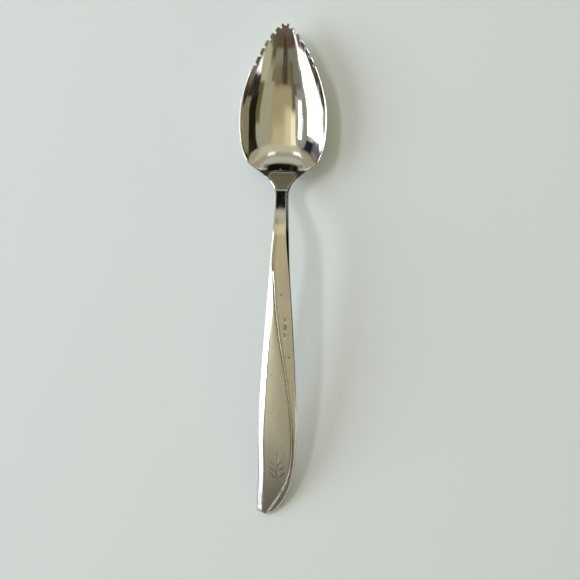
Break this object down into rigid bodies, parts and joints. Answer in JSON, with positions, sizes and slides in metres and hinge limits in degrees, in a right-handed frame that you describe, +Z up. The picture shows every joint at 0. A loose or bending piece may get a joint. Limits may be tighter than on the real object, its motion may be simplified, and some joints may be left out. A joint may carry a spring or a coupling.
{
  "type": "grapefruit spoon",
  "caption": "Slim metal table spoon with a deep pointed bowl, a serrated front edge and an arched, flared handle with a sweeping ridge.",
  "frame": {"origin": "middle of the spoon's length and width, on the surface that it lies on", "axes": "+Y along the spoon towards the serrated tip, +X to the right, +Z up out of the hollow"},
  "size_m": [0.0294, 0.1649, 0.018],
  "materials": {
    "polished_steel": "polished",
    "satin_steel": "satin"
  },
  "bodies": {
    "root": {"bowl": "polished_steel", "neck": "polished_steel", "handle": "satin_steel"}
  },
  "joints": []
}
